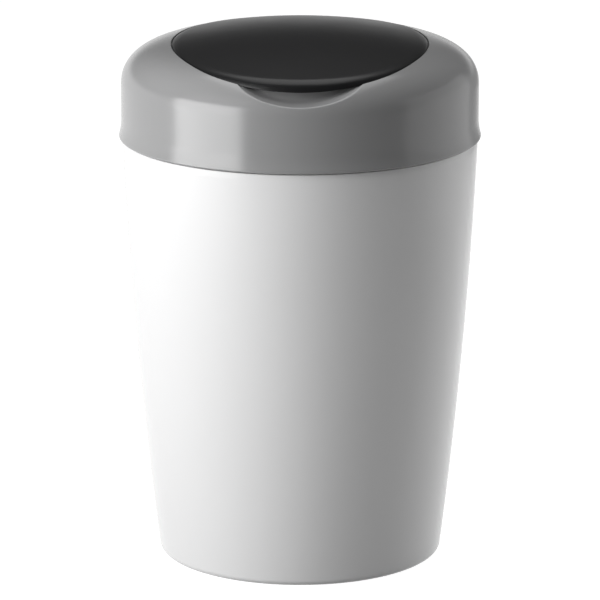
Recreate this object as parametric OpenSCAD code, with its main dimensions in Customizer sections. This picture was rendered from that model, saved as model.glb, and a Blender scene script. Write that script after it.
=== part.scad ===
// Nappy bin: a tapered tub, a lift-off head with a domed collar and a hinged oval lid,
// and inside it a film cassette that a twist ring turns above a ring of gripping fingers.
// Millimetres, +Z up, front towards -Y, origin at the centre of the standing face.

/* [Tub] */
// Outer radius at the floor
base_r = 106; // [98:0.5:112]
// Outer radius just under the collar
mouth_r = 132.7; // [131.5:0.1:134]
// Height of the step that the collar stands over
step_z = 318.7; // [290:1:360]
// How far the wall bows out at half height
belly = 3.4; // [0:0.2:8]
// Wall thickness of the tub
tub_wall = 2.4; // [1.8:0.1:3.2]
// Height of the neck above the step
neck_h = 24.8; // [22:0.2:27]
// Rise of the tub's floor above the ground
floor_rise = 5.5; // [4:0.5:12]
// Number of ribs under the tub's floor
base_ribs = 8; // [4:1:16]

/* [Collar] */
// Outer radius of the collar's wall
collar_r = 133.2; // [132.8:0.1:134]
// How far the lower edge flares out
flare_w = 1.8; // [0.5:0.1:3]
// Height of the flare
flare_h = 14; // [8:1:20]
// Height where the wall starts to turn in
shoulder_h = 39.8; // [37:0.2:42]
// Height of the dome's crown above the lower edge
dome_h = 73.9; // [72:0.1:78]
// Wall thickness of the collar
collar_wall = 2.4; // [1.8:0.1:3]
// Gap between the tub's step and the collar
shadow_gap = 0.8; // [0.4:0.1:2]

/* [Lid] */
// Half the width of the oval lid
lid_a = 95; // [90:0.5:97]
// Half the length of the oval lid
lid_b = 117.2; // [114:0.1:118]
// Radius of the rounder front and back ends of the oval
end_r = 87; // [82:0.5:90]
// How far the lid's centre sits in front of the axis
lid_forward = 8; // [6:0.5:9]
// Height of the lid's crown above the dome's own crown
crown_rise = 8.3; // [7:0.1:12]
// How far the lid's top stands above the dome at its sides
side_proud = 0.75; // [0.6:0.05:1.5]
// Wall thickness of the lid
lid_wall = 2.4; // [1.8:0.1:3]
// Width over which the lid's rim rolls down
roll_w = 7; // [5:0.5:9]

/* [Finger scoop] */
// Radius of the scooping sphere
scoop_r = 120; // [110:1:130]
// Height of the scoop's lowest edge above the collar's lower edge
scoop_low = 48.4; // [46:0.2:54]

/* [Hinge] */
// Radius of the hinge pin
pin_r = 2; // [1.5:0.1:2.4]
// Radius of the lid's hinge barrels
barrel_r = 4.3; // [3.8:0.1:4.6]
// Width of each hinge barrel
barrel_w = 16; // [12:1:18]

/* [Cassette] */
// Outer radius of the cassette
cassette_r = 100; // [97:0.5:101]
// Outer radius of the cassette's core
core_r = 64.2; // [63.6:0.1:64.5]
// Height of the cassette's outer wall
cassette_h = 35.7; // [33:0.1:36]
// Number of pleats in the folded film
pleats = 18; // [8:1:24]

/* [Twist ring] */
// Number of finger lobes on the ring
lobes = 6; // [3:1:8]
// Number of drive lugs
lugs = 6; // [3:1:6]
// Radius of the throat inside the ring
throat_r = 55.5; // [50:0.5:56]

/* [Gripper] */
// Number of gripping fingers
fingers = 12; // [8:1:18]
// Radius of the hole that the fingers leave
grip_r = 34; // [30:1:42]

/* [Cutter] */
// Travel of the cutter's button
cutter_travel = 6; // [3:0.5:6]
// Turns of the cutter's return spring
spring_turns = 6; // [4:1:8]

/* [Hidden] */

$fn = 96;
eps = 0.01;
// Clearances: sliding fits between bodies, seats of clipped parts, and the pin in its barrels
slip = 0.45;
seat = 0.3;
pin_play = 0.05;

// Levels of the head
rim_z = step_z + shadow_gap;
neck_top = step_z + neck_h;
neck_r = collar_r - collar_wall - slip;
neck_in = neck_r - tub_wall;

// Dome shape: a superellipse from the wall to the crown
dome_er = 5.74;
dome_eh = 2.17;
dome_steps = 22;

// Key ribs in the neck and the carrier's wall
key_count = 4;
key_w = 4;
key_depth = 1.2;
key_low = 24;

// Carrier
seal_h = 1.6;
flange_z = neck_top + seal_h;
flange_t = 2.4;
carrier_wall = 2.4;
carrier_floor = 2.5;
cup_r = cassette_r + 4.3;
cup_h = 8;
tray_drop = 4;
tray_z = rim_z - tray_drop;
guide_h = 2.3;
bore_r = core_r - 3.8;
tongue_w = 14;
tongue_h = 16;
tongue_t = 1.8;

// Gripper
pad_t = 1.8;
pad_r = bore_r + 13;
finger_t = 1.6;
finger_drop = 18;
retainer_t = 2.2;
screw_count = 4;
screw_r = 1.5;
head_r = 2.9;
head_h = 1.9;
screw_len = 7;
cross_len = 3.2;
cross_w = 0.7;

// Turntable
table_t = 2;
table_rim = 1.8;
table_lip = 3;
table_holes = 12;
hole_r = 7;
hole_circle = cassette_r - 14;
keys = 3;
drive_r = bore_r + 8;
drive_len = 8;
drive_w = 5;
drive_h = 1.6;
drive_play = 0.5;

// Cassette
cassette_z = tray_z + seat + table_t + seat;
cass_wall = 1.4;
cass_floor = 2.4;
core_wall = 1.8;
core_drop = 5.5;
core_top = cassette_z + cassette_h - core_drop;
cover_t = 1.8;
cover_lap = 0.6;
cover_skirt = 3;
cover_z = cassette_z + cassette_h;
cover_in = core_r + 2.9;
film_in = core_r + 2.6;
film_out = cassette_r - cass_wall - 1.4;
film_top = core_top - 0.8;

// Twist ring
lug_r = 78;
lug_size = 6;
lug_play = 0.6;
flange_r = 93;
ring_hole = 86;
ring_gap = 1;
well_flat = 99;
well_h = 44;
well_z = rim_z + well_h;
well_t = 2.4;
flange_drop = 2.3;
ring_flange_z = well_z - flange_drop;
ring_flange_t = 1.8;
ring_rise = 2.6;
ring_top = well_z + well_t + ring_rise;
skirt_low = 12;
skirt_z = cassette_z + skirt_low;
skirt_h = 18.5;
ring_wall = 2;
ring_roof = 4.2;
ring_rim = 2.4;
shelf_w = 12;
boss_r = 4;
boss_circle = 99.5;

// Well under the lid
well_inset = 9;
well_wall = 2;
well_rise = 10;
well_far = 125;
rebate = 2.2;
rebate_gap = 0.6;
lid_tuck = 1.2;
deck_r = 104;

// Scoop: the sphere's centre lies in front of and above the collar's edge
scoop_front = 150;
scoop_h = scoop_low + sqrt(pow(scoop_r, 2) - pow(scoop_front - collar_r + 1.3, 2));
scoop_guard = 2.2;
scoop_fillet = 4;
fillet_lap = 0.15;
fillet_turn = 45;
fillet_bite = 1;

// Hinge
pivot_y = lid_b - lid_forward + 9;
pivot_h = dome_z(pivot_y) - barrel_r;
pocket_gap = 0.6;
knuckle_w = 13;
barrel_x = (knuckle_w + barrel_w) / 2 + pocket_gap;
pocket_w = 2 * (barrel_x + barrel_w / 2 + pocket_gap);
pocket_front = lid_b - lid_forward - 5;
cheek_w = 5;
pin_len = pocket_w + 2 * cheek_w - 2;

// Liner and seal
liner_inset = 13;
liner_wall = 1.8;
liner_h = 51.8;
seal_w = liner_inset - well_inset - seat;
seal_t = 2.4;
seal_relief = 1.8;

// Oval: four arcs, the sides tangent to the ends
end_c = lid_b - end_r;
side_r = (pow(lid_a, 2) + pow(end_c, 2) - pow(end_r, 2)) / (2 * (lid_a - end_r));
side_c = side_r - lid_a;
turn_a = atan2(end_c, side_c);
lid_sides = 72;

// Cutter, beside the core so that its blade goes down through the film
cutter_r = core_r + 1.3;
cutter_angle = -75;
button_w = 13;
button_d = 11;
button_play = 0.4;
button_shift = 4.2;
guide_t = 1.4;
guide_floor = 1.6;
guide_low = cover_z + cover_t + 1.2;
guide_top = ring_top + 2.5;
button_low = guide_low + guide_floor + cutter_travel + seat;
button_top = guide_top + cutter_travel + 3;
blade_t = 0.6;
blade_w = 7;
blade_hold = 4;
spring_r = 2.6;
spring_wire = 0.5;
spring_x = 5.6;

// Height of the dome over radius r, above the collar's lower edge
function dome_z(r) = shoulder_h + (dome_h - shoulder_h)
    * pow(max(0, 1 - pow(min(r, collar_r) / collar_r, dome_er)), 1 / dome_eh);

// Points of the dome from the wall to the axis, set in by a distance
function dome_points(inset) = [for (i = [0 : dome_steps])
    let (t = 90 * i / dome_steps)
    [(collar_r - inset) * pow(cos(t), 2 / dome_er),
     shoulder_h + (dome_h - inset - shoulder_h) * pow(sin(t), 2 / dome_eh)]];

// Radius of the tub's outer wall at a height
function tub_r(z) = let (t = z / step_z) base_r + (mouth_r - base_r) * t + 4 * belly * t * (1 - t);

// Points of an arc
function arc(cx, cy, r, a0, a1, n) = [for (i = [0 : n])
    let (a = a0 + (a1 - a0) * i / n) [cx + r * cos(a), cy + r * sin(a)]];

// Crown of the lid: a sphere through the centre and just above the dome at the sides
crown_h = dome_h + crown_rise;
crown_r = (pow(lid_a, 2) + pow(lid_forward, 2))
    / (2 * (crown_h - dome_z(norm([lid_a, lid_forward])) - side_proud));

// Height of the lid's crowned top over a point
function crown_z(x, y) = crown_h - (x * x + y * y) / (2 * crown_r);

module ring(r_in, r_out, h) {
    difference() {
        cylinder(r = r_out, h = h);
        translate([0, 0, -1]) cylinder(r = r_in, h = h + 2);
    }
}

// Plan of the lid, set in by a distance
module oval_plan(inset) {
    half = (side_r - inset) * sin(turn_a);
    intersection() {
        translate([-side_c, 0]) circle(r = side_r - inset);
        translate([side_c, 0]) circle(r = side_r - inset);
        translate([-2 * lid_b, -half]) square([4 * lid_b, 2 * half]);
    }
    for (s = [-1, 1]) translate([0, s * end_c]) circle(r = end_r - inset);
}

// Upright oval prism between two heights over the collar's edge
module oval(inset, h0, h1) {
    translate([0, -lid_forward, rim_z + h0])
        linear_extrude(height = h1 - h0) oval_plan(inset);
}

// Solid dome of the collar, set in by a distance, down to a height over the lower edge
module dome_solid(inset, h0) {
    translate([0, 0, rim_z])
        rotate_extrude()
            polygon(concat([[0, h0], [collar_r - inset, h0]], dome_points(inset)));
}

// Tub

function tub_outer_points(n) = [for (i = [1 : n])
    let (z = 6 + (step_z - 6) * i / n) [tub_r(z), z]];

function tub_inner_points(n) = [for (i = [n : -1 : 0])
    let (z = floor_rise + 8 + (step_z - tub_wall - floor_rise - 8) * i / n)
    [tub_r(z) - tub_wall, z]];

module tub_shell() {
    foot_round = 5;
    foot_w = 7;
    n = 16;
    rotate_extrude()
        polygon(concat(
            [[0, floor_rise], [base_r - foot_round - foot_w - 3, floor_rise],
             [base_r - foot_round - foot_w, 0], [base_r - foot_round, 0]],
            arc(tub_r(foot_round) - foot_round, foot_round, foot_round, -75, 0, 5),
            tub_outer_points(n),
            [[neck_r, step_z], [neck_r, neck_top - 1], [neck_r - 0.8, neck_top],
             [neck_in, neck_top], [neck_in, step_z - tub_wall]],
            tub_inner_points(n),
            [[tub_r(floor_rise) - tub_wall - 5, floor_rise + tub_wall + 0.8],
             [tub_r(floor_rise) - tub_wall - 11, floor_rise + tub_wall], [0, floor_rise + tub_wall]]));
}

module base_rib() {
    rib_h = 3;
    rib_t = 2;
    hub = 10;
    translate([hub, -rib_t / 2, floor_rise - rib_h])
        cube([base_r - 14 - hub, rib_t, rib_h + 1]);
}

module tub() {
    color("white") union() {
        tub_shell();
        difference() {
            for (i = [0 : base_ribs - 1]) rotate(i * 360 / base_ribs) base_rib();
            cylinder(r = 9, h = 20);
        }
        translate([0, 0, floor_rise - 3]) ring(9, 11, 4);
        for (i = [0 : key_count - 1]) rotate(45 + i * 360 / key_count)
            translate([neck_in - key_depth, -key_w / 2, neck_top - key_low - 2])
                cube([key_depth + tub_wall / 2, key_w, key_low]);
    }
}

// Head seal

module tub_seal() {
    color("dimgray") translate([0, 0, neck_top])
        ring(neck_in + 0.3, neck_r - 0.9, seal_h);
}

// Carrier

module carrier_profile() {
    wall_r = neck_in - slip;
    cup_top = tray_z + cup_h;
    polygon([
        [neck_r, flange_z], [neck_r, flange_z + flange_t], [wall_r - carrier_wall - 2, flange_z + flange_t],
        [wall_r - carrier_wall, flange_z - 2], [wall_r - carrier_wall, cup_top + 9],
        [cup_r, cup_top], [cup_r, tray_z], [bore_r + 2, tray_z], [bore_r + 2, tray_z + guide_h],
        [bore_r, tray_z + guide_h], [bore_r, tray_z - carrier_floor - 2],
        [bore_r + 2, tray_z - carrier_floor - 2], [bore_r + 2, tray_z - carrier_floor],
        [cup_r + 2, tray_z - carrier_floor], [cup_r + carrier_wall, cup_top - 1],
        [wall_r, cup_top + 8], [wall_r, flange_z]]);
}

module carrier_tongue() {
    translate([neck_r - tongue_t - 0.2, -tongue_w / 2, flange_z + 1])
        cube([tongue_t, tongue_w, tongue_h]);
    translate([neck_r - tongue_t - 0.2, -tongue_w / 2, flange_z + tongue_h - 2])
        cube([tongue_t + 0.4, tongue_w, 2]);
}

module gripper_screw_spots() {
    for (i = [0 : screw_count - 1]) rotate(45 + i * 360 / screw_count)
        translate([pad_r - 4.5, 0, 0]) children();
}

module carrier() {
    low = tray_z - carrier_floor - 2;
    color("gainsboro") difference() {
        union() {
            rotate_extrude() carrier_profile();
            for (i = [0 : 7]) rotate(22.5 + i * 45) carrier_rib();
            for (i = [0 : 3]) rotate(45 + i * 90) carrier_tongue();
            gripper_screw_spots() translate([0, 0, low]) cylinder(r = boss_r, h = carrier_floor + 2);
        }
        for (i = [0 : key_count - 1]) rotate(45 + i * 360 / key_count)
            translate([neck_in - key_depth - slip, -key_w / 2 - slip, tray_z])
                cube([key_depth + 2, key_w + 2 * slip, flange_z - tray_z]);
        gripper_screw_spots() translate([0, 0, low - 1]) cylinder(r = screw_r - 0.2, h = carrier_floor + 2);
    }
}

module carrier_rib() {
    rib_t = 2;
    translate([pad_r + 2, -rib_t / 2, tray_z - carrier_floor - 4])
        cube([cup_r - pad_r - 3, rib_t, 4.5]);
}

// Gripper with its fingers

pad_z = tray_z - carrier_floor - 2 - pad_t;

module finger_profile() {
    r0 = bore_r - 1;
    run = r0 - grip_r;
    polygon([[r0 + 3, pad_z + pad_t], [r0, pad_z + pad_t], [grip_r, pad_z + pad_t - finger_drop],
             [grip_r + finger_t * 0.6, pad_z + pad_t - finger_drop - finger_t * 0.8],
             [r0 - 0.1 * run + 1.5, pad_z - 1.6], [r0 + 3, pad_z]]);
}

module gripper() {
    slit = 3;
    color("slategray") difference() {
        union() {
            translate([0, 0, pad_z]) ring(bore_r + 1, pad_r, pad_t);
            for (i = [0 : fingers - 1]) rotate(i * 360 / fingers + slit / 2)
                rotate_extrude(angle = 360 / fingers - slit) finger_profile();
        }
        gripper_screw_spots() translate([0, 0, pad_z - 1]) cylinder(r = screw_r + 0.4, h = pad_t + 2);
    }
}

module gripper_retainer() {
    z = pad_z - retainer_t;
    color("gainsboro") difference() {
        translate([0, 0, z]) ring(bore_r + 3.6, pad_r, retainer_t);
        gripper_screw_spots() translate([0, 0, z - 1]) cylinder(r = screw_r + 0.3, h = retainer_t + 2);
    }
}

module screw() {
    translate([0, 0, -head_h]) difference() {
        union() {
            cylinder(r = head_r, h = head_h);
            cylinder(r = screw_r - 0.25, h = screw_len);
        }
        for (a = [0, 90]) rotate(a) translate([-cross_len / 2, -cross_w / 2, -1])
            cube([cross_len, cross_w, head_h]);
    }
}

module retainer_screws() {
    color("silver") gripper_screw_spots() translate([0, 0, pad_z - retainer_t]) screw();
}

// Turntable

module turntable() {
    z = tray_z + seat;
    inner = bore_r + 3;
    color("gainsboro") difference() {
        union() {
            translate([0, 0, z]) ring(inner, cassette_r + ring_gap + table_rim, table_t);
            translate([0, 0, z])
                ring(cassette_r + ring_gap, cassette_r + ring_gap + table_rim, table_t + table_lip);
            for (i = [0 : keys - 1]) rotate(i * 360 / keys) table_key(z);
        }
        for (i = [0 : table_holes - 1]) rotate((i + 0.5) * 360 / table_holes)
            translate([hole_circle, 0, z - 1]) cylinder(r = hole_r, h = table_t + 2);
    }
}

module table_key(z) {
    translate([drive_r, -drive_w / 2, z + table_t - eps]) cube([drive_len, drive_w, drive_h]);
}

// Cassette

module cassette_tray() {
    top = cover_z;
    color("lightsteelblue") difference() {
        rotate_extrude() polygon([
            [core_r - core_wall, cassette_z], [cassette_r - 1, cassette_z], [cassette_r, cassette_z + 1],
            [cassette_r, top], [cassette_r - cass_wall, top],
            [cassette_r - cass_wall, cassette_z + cass_floor], [core_r, cassette_z + cass_floor],
            [core_r, core_top - 1], [core_r - core_wall / 3, core_top],
            [core_r - core_wall * 2 / 3, core_top], [core_r - core_wall, core_top - 1]]);
        for (i = [0 : keys - 1]) rotate(i * 360 / keys)
            translate([drive_r - drive_play, -drive_w / 2 - drive_play, cassette_z - drive_h])
                cube([drive_len + 2 * drive_play, drive_w + 2 * drive_play, 2 * drive_h]);
    }
}

module cassette_cover() {
    color("lightsteelblue") difference() {
        union() {
            translate([0, 0, cover_z]) ring(cover_in, cassette_r + cover_lap, cover_t);
            translate([0, 0, cover_z - cover_skirt])
                ring(cassette_r - cass_wall - 1.5, cassette_r - cass_wall - 0.2, cover_skirt + eps);
            translate([0, 0, cover_z - cover_skirt * 0.8])
                ring(cover_in, cover_in + 1.2, cover_skirt * 0.8 + eps);
        }
        for (i = [0 : lugs - 1]) rotate(i * 360 / lugs)
            translate([lug_r - lug_size / 2 - lug_play, -lug_size / 2 - lug_play, cover_z - 1])
                cube([lug_size + 2 * lug_play, lug_size + 2 * lug_play, cover_t + 2]);
    }
}

module film_pack() {
    low = cassette_z + 2.7;
    pitch = (film_top - low) / pleats;
    bite = 1.1;
    color("aliceblue") rotate_extrude() polygon(concat(
        [for (i = [0 : pleats - 1]) each [[film_out - bite, low + i * pitch], [film_out, low + (i + 0.5) * pitch]]],
        [[film_out - bite, film_top], [film_in + bite, film_top]],
        [for (i = [pleats - 1 : -1 : 0]) each [[film_in, low + (i + 0.5) * pitch], [film_in + bite, low + i * pitch]]]));
}

// Twist ring

module ring_profile() {
    neck = ring_hole - ring_gap;
    turn = skirt_z + skirt_h;
    polygon([
        [neck, ring_top - 1.5], [neck - 1.5, ring_top], [neck - shelf_w + 3, ring_top],
        [neck - shelf_w, ring_top - 1.2], [throat_r + 1.5, turn + 2], [throat_r, turn - 1.5],
        [throat_r, skirt_z], [throat_r + ring_wall, skirt_z], [throat_r + ring_wall, turn],
        [neck - shelf_w, ring_top - ring_roof], [neck - ring_rim, ring_top - ring_roof],
        [neck - ring_rim, ring_flange_z],
        [flange_r, ring_flange_z], [flange_r, ring_flange_z + ring_flange_t],
        [neck, ring_flange_z + ring_flange_t]]);
}

module at_cutter() {
    rotate(cutter_angle) translate([cutter_r, 0, 0]) children();
}

module twist_ring() {
    lobe_r = 15;
    color("whitesmoke") difference() {
        union() {
            rotate_extrude() ring_profile();
            for (i = [0 : lugs - 1]) rotate(i * 360 / lugs) drive_lug();
            for (i = [0 : lobes - 1]) rotate(30 + i * 360 / lobes) finger_lobe();
            guide_walls();
        }
        guide_hollow();
        for (i = [0 : lobes - 1]) rotate(i * 360 / lobes)
            translate([ring_hole - 8, 0, ring_top + lobe_r - 2.2]) sphere(r = lobe_r);
    }
}

module drive_lug() {
    low = cover_z + 0.4;
    translate([lug_r - lug_size / 2, -lug_size / 2, low])
        cube([lug_size, lug_size, ring_top - 3 - low]);
}

module finger_lobe() {
    lobe_len = 18;
    lobe_t = 4;
    lobe_rise = 2.2;
    lobe_low = skirt_z + skirt_h - 4.5;
    intersection() {
        translate([throat_r + 4, -lobe_t / 2, lobe_low])
            cube([lobe_len, lobe_t, ring_top + lobe_rise - lobe_low + 0.2]);
        rotate_extrude() polygon([[throat_r + 3, lobe_low + 1], [ring_hole - shelf_w, ring_top - 4],
            [ring_hole - shelf_w, ring_top + lobe_rise], [throat_r + 14, ring_top + lobe_rise],
            [throat_r + 6, ring_top - 7]]);
    }
}

// Guide box of the cutter's button: its walls, and what is hollowed out of them
module guide_walls() {
    w = button_w + 2 * (button_play + guide_t);
    d = button_d + 2 * (button_play + guide_t);
    at_cutter() translate([button_shift - d / 2, -w / 2, guide_low]) cube([d, w, guide_top - guide_low]);
}

module guide_hollow() {
    w = button_w + 2 * button_play;
    d = button_d + 2 * button_play;
    at_cutter() {
        translate([button_shift - d / 2, -w / 2, guide_low + guide_floor]) cube([d, w, 40]);
        translate([-1, -blade_w / 2 - 0.5, guide_low - 6]) cube([2, blade_w + 1, 10]);
    }
}

module cutter_button() {
    slot = 0.02;
    color("darkorange") at_cutter() difference() {
        translate([button_shift - button_d / 2, -button_w / 2, button_low])
            cube([button_d, button_w, button_top - button_low]);
        translate([spring_x, 0, button_low - 1])
            cylinder(r = spring_r + spring_wire + 0.3, h = button_top - button_low - 0.8);
        translate([-blade_t / 2 - slot, -blade_w / 2 - slot, button_low - 1])
            cube([blade_t + 2 * slot, blade_w + 2 * slot, blade_hold + 1]);
        // Thumb dish in the button's top
        translate([button_shift, 0, button_top + 11]) sphere(r = 12);
    }
}

module cutter_blade() {
    tip = core_top - 1 + cutter_travel;
    top = button_low + blade_hold - 0.1;
    slope = 3;
    color("silver") at_cutter() translate([-blade_t / 2, 0, 0]) rotate([90, 0, 90])
        linear_extrude(height = blade_t)
            polygon([[-blade_w / 2, top], [-blade_w / 2, tip + slope], [0, tip],
                     [blade_w / 2, tip + slope], [blade_w / 2, top]]);
}

// Return spring of the cutter, one unbroken tube along a helix
spring_low = guide_low + guide_floor + 0.1;
spring_top = button_top - 1.9;
spring_steps = 12;
spring_sides = 6;

function helix_point(i) = let (n = spring_turns * spring_steps, a = 360 * i / spring_steps)
    [spring_r * cos(a), spring_r * sin(a),
     spring_low + spring_wire + (spring_top - spring_low - 2 * spring_wire) * i / n];

function spring_rings() = [for (i = [0 : spring_turns * spring_steps])
    let (p = helix_point(i), a = 360 * i / spring_steps)
    for (k = [0 : spring_sides - 1])
        let (b = 360 * k / spring_sides)
        [p[0] + spring_wire * cos(b) * cos(a), p[1] + spring_wire * cos(b) * sin(a), p[2] + spring_wire * sin(b)]];

function tube_faces(rings, m) = concat(
    [[for (k = [0 : m - 1]) k]],
    [for (i = [0 : rings - 2]) for (k = [0 : m - 1]) let (a = i * m + k, b = i * m + (k + 1) % m)
        each [[a, a + m, b], [b, a + m, b + m]]],
    [[for (k = [m - 1 : -1 : 0]) (rings - 1) * m + k]]);

module cutter_spring() {
    rings = spring_turns * spring_steps + 1;
    echo(least_gap_in_spring = (spring_top - spring_low - 2 * spring_wire) / spring_turns - 2 * spring_wire);
    color("silver") at_cutter() translate([spring_x, 0, 0])
        polyhedron(points = spring_rings(), faces = tube_faces(rings, spring_sides));
}

// Collar

function flare_points(n) = [for (i = [0 : n])
    let (h = 1.2 + (flare_h - 1.2) * i / n) [collar_r + flare_w * pow(1 - (h - 1.2) / (flare_h - 1.2), 2), h]];

module collar_body() {
    translate([0, 0, rim_z]) rotate_extrude() polygon(concat(
        [[0, 0], [collar_r + flare_w - 1, 0]], flare_points(6), dome_points(0)));
}

module scoop_ball(grow) {
    translate([0, -scoop_front, rim_z + scoop_h]) sphere(r = scoop_r + grow);
}

// The part of the scooping sphere that lies in front of the well
module scoop_front_part() {
    back = lid_b * 0.68;
    translate([-back, -scoop_r - scoop_front, rim_z + shoulder_h / 2])
        cube([2 * back, scoop_r + scoop_front - back, dome_h]);
}

// Section of the scoop's fillet at an angle from the front. A ball rolls along the well's
// wall and the scoop's floor, and laps into them in the directions u and v from its centre.
function fillet_section(a, n) = let (
    off = scoop_fillet - fillet_lap,
    far = end_r - well_inset + well_wall + off,
    x = far * sin(a), y = -lid_forward - end_c - far * cos(a),
    reach = scoop_r - off,
    down = sqrt(pow(reach, 2) - pow(x, 2) - pow(y + scoop_front, 2)),
    middle = [x, y, rim_z + scoop_h - down],
    u = [-sin(a), cos(a), 0],
    v = [x, y + scoop_front, -down] / reach,
    bend = acos(u * v),
    deep = scoop_fillet + fillet_bite)
    concat(
        [middle + (u + v) * deep / (1 + cos(bend)), middle + v * deep],
        [for (i = [0 : n]) middle + (v * sin(bend * (1 - i / n)) + u * sin(bend * i / n))
            * scoop_fillet / sin(bend)],
        [middle + u * deep]);

// Material left along the foot of the well's wall, where the scoop meets it
module scoop_fillet_bead() {
    steps = 2 * fillet_turn * $fn / 360;
    arcs = 5;
    polyhedron(
        points = [for (k = [0 : steps]) each fillet_section(-fillet_turn + k * 360 / $fn, arcs)],
        faces = tube_faces(steps + 1, arcs + 4));
}

module collar_skin() {
    difference() {
        union() {
            difference() {
                collar_body();
                difference() {
                    dome_solid(collar_wall, -1);
                    intersection() {
                        scoop_ball(scoop_guard);
                        scoop_front_part();
                    }
                }
            }
            // Ledge under the lid's rim
            intersection() {
                oval(-rebate_gap - collar_wall, 30, 100);
                difference() {
                    dome_solid(eps, 30);
                    dome_solid(rebate + collar_wall, 20);
                }
            }
        }
        oval(well_inset - well_wall / 2, 20, 120);
    }
}

// Deck that carries the twist ring, and the oval well standing on it
module well() {
    difference() {
        intersection() {
            oval(well_inset - well_wall, 40, 100);
            dome_solid(rebate, 40);
            rotate_extrude() polygon([[ring_hole, well_z], [well_flat, well_z],
                [well_far, well_z + well_rise], [well_far, rim_z + 100], [0, rim_z + 100], [0, well_z + 6],
                [ring_hole, well_z + 6]]);
        }
        intersection() {
            oval(well_inset, 40, 120);
            rotate_extrude() polygon([[0, well_z - 5], [0, rim_z + 110], [160, rim_z + 110],
                [160, well_z + well_rise + well_t + 13], [well_far, well_z + well_rise + well_t],
                [well_flat, well_z + well_t], [ring_hole, well_z + well_t], [ring_hole, well_z - 5]]);
        }
    }
    translate([0, 0, well_z]) ring(ring_hole, deck_r, well_t);
}

module collar_gusset() {
    inner = collar_r - collar_wall;
    low = flange_z + flange_t + seat - rim_z;
    translate([0, 1, rim_z]) rotate([90, 0, 0]) linear_extrude(height = 2)
        polygon([[inner - 3.5, low], [inner + 1, low], [inner + 1, shoulder_h], [inner - 1, shoulder_h]]);
}

module ring_screw_spots() {
    for (i = [0 : screw_count - 1]) rotate(45 + i * 360 / screw_count)
        translate([boss_circle, 0, 0]) children();
}

retainer_top = ring_flange_z - seat;

// Cheeks that hold the pin's ends, and the knuckle between the lid's barrels
module hinge_cheeks() {
    for (s = [-1, 1]) translate([s * (pocket_w + cheek_w) / 2, pivot_y, rim_z + pivot_h]) {
        rotate([0, 90, 0]) cylinder(r = barrel_r + 0.7, h = cheek_w, center = true);
        translate([-cheek_w / 2, -barrel_r - 0.7, -barrel_r - 3]) cube([cheek_w, 2 * barrel_r + 1.4, barrel_r + 3]);
    }
}

module hinge_knuckle() {
    translate([0, pivot_y, rim_z + pivot_h]) {
        rotate([0, 90, 0]) cylinder(r = barrel_r, h = knuckle_w, center = true);
        translate([-knuckle_w / 2, -barrel_r, -barrel_r - 3]) cube([knuckle_w, 2 * barrel_r, barrel_r + 3]);
    }
}

module hinge_pocket() {
    w = pocket_w;
    translate([-w / 2, pocket_front, rim_z + pivot_h - barrel_r - pocket_gap])
        cube([w, pivot_y - pocket_front, 30]);
    translate([0, pivot_y, rim_z + pivot_h]) rotate([0, 90, 0])
        cylinder(r = barrel_r + pocket_gap, h = w, center = true);
    translate([-w / 2, pivot_y - eps, rim_z + pivot_h])
        cube([w, barrel_r + pocket_gap, 30]);
}

module pocket_wall() {
    w = pocket_w + 2 * cheek_w;
    t = 2;
    deep = pivot_h - barrel_r - pocket_gap - t;
    intersection() {
        translate([-w / 2, pocket_front - 4, rim_z + deep])
            cube([w, pivot_y - pocket_front + 4 + barrel_r + pocket_gap + t, 40]);
        dome_solid(0.8, 30);
    }
}

// What the lid needs clear: its outline, down to the ledge and never above the lid's underside
module lid_room() {
    difference() {
        union() {
            oval(-rebate_gap, 30, 100);
            // The rim swings back as the lid opens, so the gap behind it is wider
            translate([0, rebate_gap, 0]) oval(-rebate_gap, 30, 100);
        }
        intersection() {
            dome_solid(rebate, 20);
            crown_ball(lid_wall + band_drop + seat);
        }
    }
}

module collar() {
    color("darkgray") difference() {
        union() {
            difference() {
                union() {
                    collar_skin();
                    well();
                    for (i = [0 : 7]) rotate(22.5 + i * 45) collar_gusset();
                    ring_screw_spots() translate([0, 0, retainer_top])
                        cylinder(r = boss_r, h = well_z - retainer_top + 1);
                    pocket_wall();
                }
                lid_room();
                // Finger scoop, up to the wall of the well
                difference() {
                    intersection() {
                        scoop_ball(0);
                        scoop_front_part();
                    }
                    oval(well_inset - well_wall, 10, 110);
                    scoop_fillet_bead();
                }
                hinge_pocket();
            }
            hinge_cheeks();
            hinge_knuckle();
        }
        translate([0, pivot_y, rim_z + pivot_h]) rotate([0, 90, 0])
            cylinder(r = pin_r + pin_play, h = pin_len + 0.4, center = true);
        ring_screw_spots() translate([0, 0, retainer_top - 1])
            cylinder(r = screw_r - 0.2, h = screw_len - retainer_t + 1);
    }
}

module ring_retainer() {
    z = retainer_top - retainer_t;
    color("gainsboro") difference() {
        translate([0, 0, z]) ring(flange_r - 5, boss_circle + boss_r, retainer_t);
        ring_screw_spots() translate([0, 0, z - 1]) cylinder(r = screw_r + 0.3, h = retainer_t + 2);
    }
}

module ring_screws() {
    color("silver") ring_screw_spots() translate([0, 0, retainer_top - retainer_t]) screw();
}

module hinge_pin() {
    color("silver") translate([0, pivot_y, rim_z + pivot_h]) rotate([0, 90, 0])
        cylinder(r = pin_r, h = pin_len, center = true);
}

// Lid

// Point of the oval where its normal has angle a, set in by a distance
function oval_point(a, inset) = abs(cos(a)) > cos(turn_a)
    ? [-sign(cos(a)) * side_c + (side_r - inset) * cos(a), (side_r - inset) * sin(a)]
    : [(end_r - inset) * cos(a), sign(sin(a)) * end_c + (end_r - inset) * sin(a)];

// The same in the part's frame, then drawn towards the lid's centre by a share
function lid_xy(inset, share, k) = let (p = oval_point(360 * k / lid_sides, inset) * share)
    [p[0], p[1] - lid_forward];

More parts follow.
